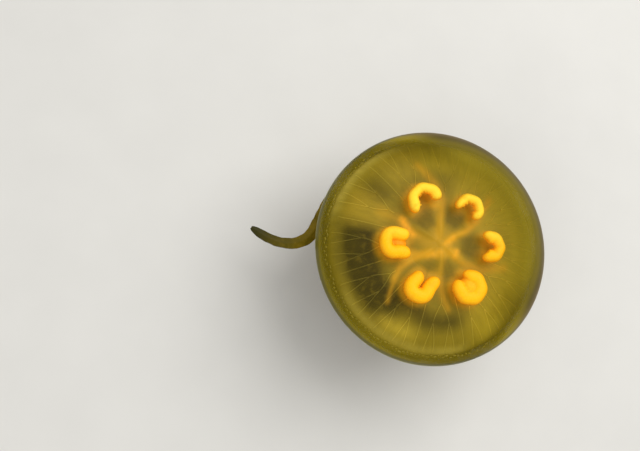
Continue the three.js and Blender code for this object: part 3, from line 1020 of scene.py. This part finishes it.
def tentacle_paths():
    """One path for each tentacle, with the bead at its root as a thicker stretch."""
    random.seed(11)
    root_radius, root_height = curl_point(CURL_END, LIP_THICK / 2)
    paths = []
    for index in range(TENTACLES):
        azimuth = 360 * (index + 0.5) / TENTACLES
        if from_notch(azimuth) < NOTCH_CLEAR:
            continue
        length = TENTACLE_LENGTH * random.uniform(0.8, 1.08)
        flare = random.uniform(3, 5.5)
        swing = random.uniform(-2, 2)
        path = []
        lip_height = root_height + notch_lift(azimuth)
        for down, thick in TENTACLE_BEAD:
            path.append((canal_place(azimuth, root_radius, lip_height - down), thick))
        for part in np.linspace(0.3, 1, 6):
            radius = root_radius + flare * part**1.6
            turn = azimuth + swing * part**2 * 0.5
            place = canal_place(turn, radius, lip_height - length * part)
            path.append((place, 0.36 - 0.18 * part))
        paths.append(path)
    return paths


def thread_finish():
    finish = Finish("tentacle_thread")
    _, _, height = finish.axes()
    fade = finish.step(height, 72, 84)
    colour = finish.mix(fade, (62, 66, 20), (158, 148, 70))
    colour = finish.mix(finish.noise(1.4, 2) * 0.4, colour, (110, 100, 34))
    gloss = finish.noise(2, 1) * 0.2 + 0.35
    return finish.surface(Base_Color=colour, Roughness=gloss, Specular_IOR_Level=0.3)


def bead_finish():
    finish = Finish("bead_flesh")
    mottle = finish.noise(3, 2)
    colour = finish.mix(mottle, (114, 100, 27), (142, 126, 40))
    return finish.surface(Base_Color=colour, Roughness=mottle * 0.2 + 0.35, Specular_IOR_Level=0.2)


fringe = strands("tentacle_fringe", tentacle_paths(), 1)
fringe.data.materials.append(thread_finish())
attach(fringe, "root")

# The swollen roots of a second row sit inside the jelly, in a loose ring of small beads.

BEADS = 170
BEAD_RING = (93.4, 106.4)


def bead_path(azimuth):
    """A bead drawn out along the rim: points along it with its thickness at each."""
    radius, height = BEAD_RING
    radius += random.uniform(-1.8, 0.9)
    height += random.uniform(-1, 0.6)
    plump = 0.75 - 0.35 * math.cos(math.radians(azimuth - 45))
    size = plump * random.uniform(0.4, 1.15)
    length = random.uniform(0.5, 1.1)
    return [
        (canal_place(azimuth + along * length, radius, height), size * math.sqrt(1 - along**2) + 0.02)
        for along in (-1, -0.8, -0.4, 0, 0.4, 0.8, 1)
    ]


random.seed(17)
beads = strands("margin_beads", [bead_path(index * 360 / BEADS) for index in range(BEADS)], 1)
beads.data.materials.append(bead_finish())
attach(beads, "root")

# ---- the sense organs ---------------------------------------------------------------
# A club smaller than a grain of rice sits in each of the twelve notches, between two lobes
# of its hood, with a red-brown eye spot on its inner end. They are cast in silicone.

ORGAN_ANGLE = CURL_END * 0.72
EYE_RADIUS = 90.7  # the eye spots lie nearer to the axis than this
# Each ball of an organ: its radius, its shift from the middle and its stretch.
ORGAN_BALLS = [
    (1.25, (0, 0, 0), (1.5, 0.8, 0.75)),
    (1.15, (0.5, 1.25, 0.3), (1.5, 0.75, 0.8)),
    (1.15, (0.5, -1.25, 0.3), (1.5, 0.75, 0.8)),
    (0.55, (-1.7, 0, -0.5), (1, 1, 1)),
]


def add_ball(radius, place, stretch):
    bpy.ops.mesh.primitive_uv_sphere_add(segments=20, ring_count=12, radius=radius * MM, location=place)
    ball = bpy.context.active_object
    ball.scale = stretch
    return ball


def sense_organ():
    """One club with its hood and eye spot, at azimuth 0."""
    radius, height = curl_point(ORGAN_ANGLE, LIP_THICK)
    base = Vector((radius, 0, height + 1.2))
    deselect()
    balls = [add_ball(size, (base + Vector(shift)) * MM, stretch) for size, shift, stretch in ORGAN_BALLS]
    for ball in balls:
        ball.select_set(True)
    bpy.ops.object.join()
    organ = bpy.context.active_object
    bpy.ops.object.transform_apply(location=True, rotation=True, scale=True)
    bpy.ops.object.shade_smooth()
    return organ


def organ_finish():
    finish = Finish("sense_organ")
    radius, _ = polar(finish)
    eye = finish.step(radius, EYE_RADIUS, EYE_RADIUS + 0.4, 1, 0)
    colour = finish.mix(finish.noise(1.5, 2), (150, 132, 48), (176, 150, 66))
    colour = finish.mix(eye, colour, (112, 44, 18))
    gloss = finish.noise(1, 1) * 0.2 + 0.3
    return finish.surface(Base_Color=colour, Roughness=gloss, Specular_IOR_Level=0.3)


first_organ = sense_organ()
organs = []
for index in range(NOTCHES):
    copy = first_organ.copy()
    copy.data = first_organ.data.copy()
    copy.data.transform(Matrix.Rotation(math.radians(NOTCH_TURN * index), 4, "Z"))
    bpy.context.scene.collection.objects.link(copy)
    organs.append(copy)
bpy.data.objects.remove(first_organ)
deselect()
for organ in organs:
    organ.select_set(True)
bpy.context.view_layer.objects.active = organs[0]
bpy.ops.object.join()
sense_organs = bpy.context.active_object
sense_organs.name = sense_organs.data.name = "sense_organs"
sense_organs.data.materials.append(organ_finish())
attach(sense_organs, "root")

# ---- the stand ----------------------------------------------------------------------
# A turned disc of black acrylic carries two brushed steel rods. Each has a collar at its
# foot and a flared saddle at its top, glued under the hollow side of the bell.

STAND_TOP = 12
STAND_RADIUS = 62
ROD_RADIUS = 2.5
ROD_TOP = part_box("stand_saddle_1")[1].z / MM


def rounded(corner, radius, quarter, steps=6):
    """Points round a corner of an outline, of which quarter gives the first angle."""
    middle = Vector(corner)
    turns = np.radians(np.linspace(quarter, quarter + 90, steps))
    return [(middle + radius * Vector((math.cos(turn), math.sin(turn))))[:] for turn in turns]


def acrylic_finish():
    finish = Finish("black_acrylic")
    wear = finish.noise(30, 4)
    fine = finish.noise(0.8, 2)
    colour = finish.mix(wear, (20, 20, 19), (34, 34, 32))
    return finish.surface(
        Base_Color=colour,
        Roughness=wear * 0.12 + fine * 0.06 + 0.2,
        Normal=finish.bump(fine, 0.04, 0.2),
    )


def steel_finish():
    """Brushed round the rod, so the marks are short along it."""
    finish = Finish("brushed_steel")
    stretched = finish.node("ShaderNodeMapping", None, {"Vector": finish.place(), "Scale": (1, 1, 14)})
    brush = finish.noise(6, 3, stretched)
    colour = finish.mix(brush, (176, 176, 170), (214, 213, 206))
    return finish.surface(
        Base_Color=colour,
        Metallic=1.0,
        Roughness=brush * 0.22 + 0.18,
        Normal=finish.bump(brush, 0.05, 0.2),
    )


base_outline = [(0, 0.6), (54, 0.6), (54.6, 0)]
base_outline += rounded((STAND_RADIUS - 1, 1), 1, -90)
base_outline += rounded((STAND_RADIUS - 2, STAND_TOP - 2), 2, 0)
base_outline += [(56, STAND_TOP), (55.6, STAND_TOP - 0.4), (55, STAND_TOP - 0.4), (54.6, STAND_TOP)]
base_outline += [(0, STAND_TOP)]
disc = turned("stand_disc", base_outline, 160)
disc.data.materials.append(acrylic_finish())
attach(disc, "root")
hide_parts("stand_base")

steel = steel_finish()
rod_outline = [(0, STAND_TOP), (5, STAND_TOP), *rounded((4.4, STAND_TOP + 3), 0.6, 0)]
rod_outline += [(3.2, STAND_TOP + 3.6)]
rod_outline += [(2.7, STAND_TOP + 4.2), (ROD_RADIUS, STAND_TOP + 5), (ROD_RADIUS, ROD_TOP - 5)]
rod_outline += [(2.8, ROD_TOP - 3.4), (4, ROD_TOP - 2.2), (5.4, ROD_TOP - 1.6), (6, ROD_TOP - 1.3)]
rod_outline += [(6, ROD_TOP - 0.9), (5.6, ROD_TOP - 0.7), (3, ROD_TOP - 0.4), (0, ROD_TOP - 0.3)]
for number in (1, 2):
    rod = turned(f"steel_rod_{number}", rod_outline, 64)
    low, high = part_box(f"stand_rod_{number}")
    rod.data.transform(Matrix.Translation(((low.x + high.x) / 2, (low.y + high.y) / 2, 0)))
    rod.data.materials.append(steel)
    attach(rod, "root")
    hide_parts(*[f"stand_{part}_{number}" for part in ("foot", "rod", "saddle")])

# ---- the studio ---------------------------------------------------------------------
# A plain pale floor, two large soft lights and a pale sky. The camera looks down on the
# bell from the left and a little in front.

CAMERA_PLACE = Vector((-0.25308, -0.14611, 0.80550))
CAMERA_AIM = CAMERA_PLACE + Vector((0.21129, 0.21402, -0.95370))
CAMERA_UP = Vector((-0.07282, 0.97647, 0.20300))


def floor_finish():
    finish = Finish("pale_floor")
    mottle = finish.noise(60, 3)
    colour = finish.mix(mottle, (214, 212, 206), (222, 220, 214))
    return finish.surface(Base_Color=colour, Roughness=mottle * 0.1 + 0.7)


deselect()
bpy.ops.mesh.primitive_plane_add(size=30)
floor = bpy.context.active_object
floor.name = "floor"
floor.data.materials.append(floor_finish())


def soft_light(name, place, size, power):
    bpy.ops.object.light_add(type="AREA", location=place)
    light = bpy.context.active_object
    light.name = name
    light.data.size = size
    light.data.energy = power
    light.rotation_euler = (-Vector(place) + Vector((0, 0, 0.1))).to_track_quat("-Z", "Y").to_euler()


soft_light("key", (0.7, 0.6, 1.5), 1.6, 22)
soft_light("fill", (-1.2, -0.9, 1.1), 1.6, 7)
world = bpy.data.worlds.new("pale_sky")
world.use_nodes = True
world.node_tree.nodes["Background"].inputs["Color"].default_value = (1, 1, 1, 1)
world.node_tree.nodes["Background"].inputs["Strength"].default_value = 0.55
bpy.context.scene.world = world
bpy.context.scene.view_settings.view_transform = "Standard"

forward = (CAMERA_AIM - CAMERA_PLACE).normalized()
right = forward.cross(CAMERA_UP).normalized()
upright = right.cross(forward)
bpy.ops.object.camera_add(location=CAMERA_PLACE)
camera = bpy.context.active_object
camera.rotation_euler = Matrix((right, upright, -forward)).transposed().to_euler()
camera.data.lens = 50
camera.data.sensor_width = 36
bpy.context.scene.camera = camera
